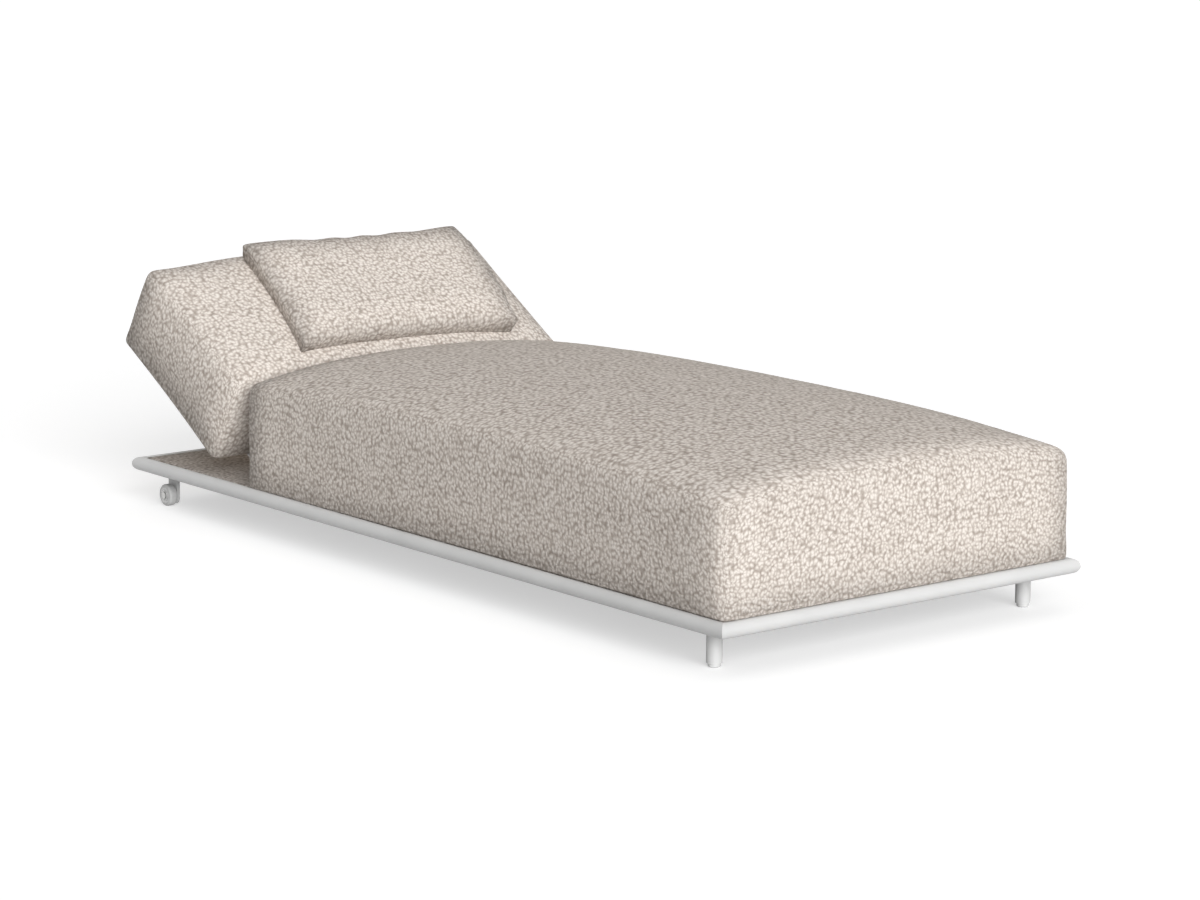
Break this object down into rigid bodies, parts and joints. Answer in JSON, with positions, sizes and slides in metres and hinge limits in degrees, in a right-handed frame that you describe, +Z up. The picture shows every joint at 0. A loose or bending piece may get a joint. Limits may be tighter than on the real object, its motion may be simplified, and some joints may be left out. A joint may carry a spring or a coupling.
{
  "type": "sun lounger",
  "caption": "Low upholstered sun lounger: white tube base on glides and wheels, deep crowned seat cushion, tilting back cushion and loose pillow.",
  "frame": {"origin": "on the floor, under the middle of the whole lounger with its back tilted as in the picture", "axes": "+Z up, +Y along the length towards the head end, +X to the right as seen from the foot end"},
  "size_m": [0.9, 2.069, 0.5776],
  "materials": {
    "white_powder_coat": "matte",
    "upholstery_cloth": "matte",
    "cushion_foam": "matte",
    "pillow_wadding": "matte",
    "deck_laminate": "matte",
    "back_plywood": "matte",
    "glide_plastic": "matte",
    "wheel_plastic": "matte",
    "wheel_rubber": "matte",
    "lock_plastic": "matte",
    "bumper_rubber": "matte",
    "stainless_steel": "satin"
  },
  "bodies": {
    "base": {"axle_nuts": "stainless_steel", "bracket_bolts": "stainless_steel", "deck_board": "deck_laminate", "deck_cover": "upholstery_cloth", "deck_screws": "stainless_steel", "foot_crossbar": "white_powder_coat", "foot_rail": "white_powder_coat", "head_crossbar": "white_powder_coat", "head_rail": "white_powder_coat", "hinge_crossbar": "white_powder_coat", "left_axle": "stainless_steel", "left_foot_glide": "glide_plastic", "left_foot_leg": "white_powder_coat", "left_hinge_lock": "lock_plastic", "left_hinge_post": "white_powder_coat", "left_rail": "white_powder_coat", "left_wheel_bracket": "white_powder_coat", "right_axle": "stainless_steel", "right_foot_glide": "glide_plastic", "right_foot_leg": "white_powder_coat", "right_hinge_lock": "lock_plastic", "right_hinge_post": "white_powder_coat", "right_rail": "white_powder_coat", "right_wheel_bracket": "white_powder_coat", "seat_cover": "upholstery_cloth", "seat_foam": "cushion_foam", "seat_foot_crossbar": "white_powder_coat", "seat_head_crossbar": "white_powder_coat"},
    "backrest": {"back_cover": "upholstery_cloth", "back_foam": "cushion_foam", "back_board": "back_plywood", "back_bumpers": "bumper_rubber", "left_hinge_arm": "white_powder_coat", "right_hinge_arm": "white_powder_coat", "left_hinge_pin": "stainless_steel", "right_hinge_pin": "stainless_steel", "hinge_nuts": "stainless_steel", "arm_screws": "stainless_steel", "pillow_cover": "upholstery_cloth", "pillow_fill": "pillow_wadding"},
    "left_wheel": {"left_wheel_hub": "wheel_plastic", "left_tyre": "wheel_rubber"},
    "right_wheel": {"right_wheel_hub": "wheel_plastic", "right_tyre": "wheel_rubber"}
  },
  "joints": [
    {"name": "back_tilt", "type": "hinge", "parent": "base", "child": "backrest", "pos_m": [0, 0.5725, 0.288], "axis": [1, 0, 0], "range_deg": [-31, 25]},
    {"name": "left_wheel_roll", "type": "hinge", "parent": "base", "child": "left_wheel", "pos_m": [-0.405, 0.9175, 0.024], "axis": [1, 0, 0], "continuous": true},
    {"name": "right_wheel_roll", "type": "hinge", "parent": "base", "child": "right_wheel", "pos_m": [0.405, 0.9175, 0.024], "axis": [1, 0, 0], "continuous": true}
  ]
}
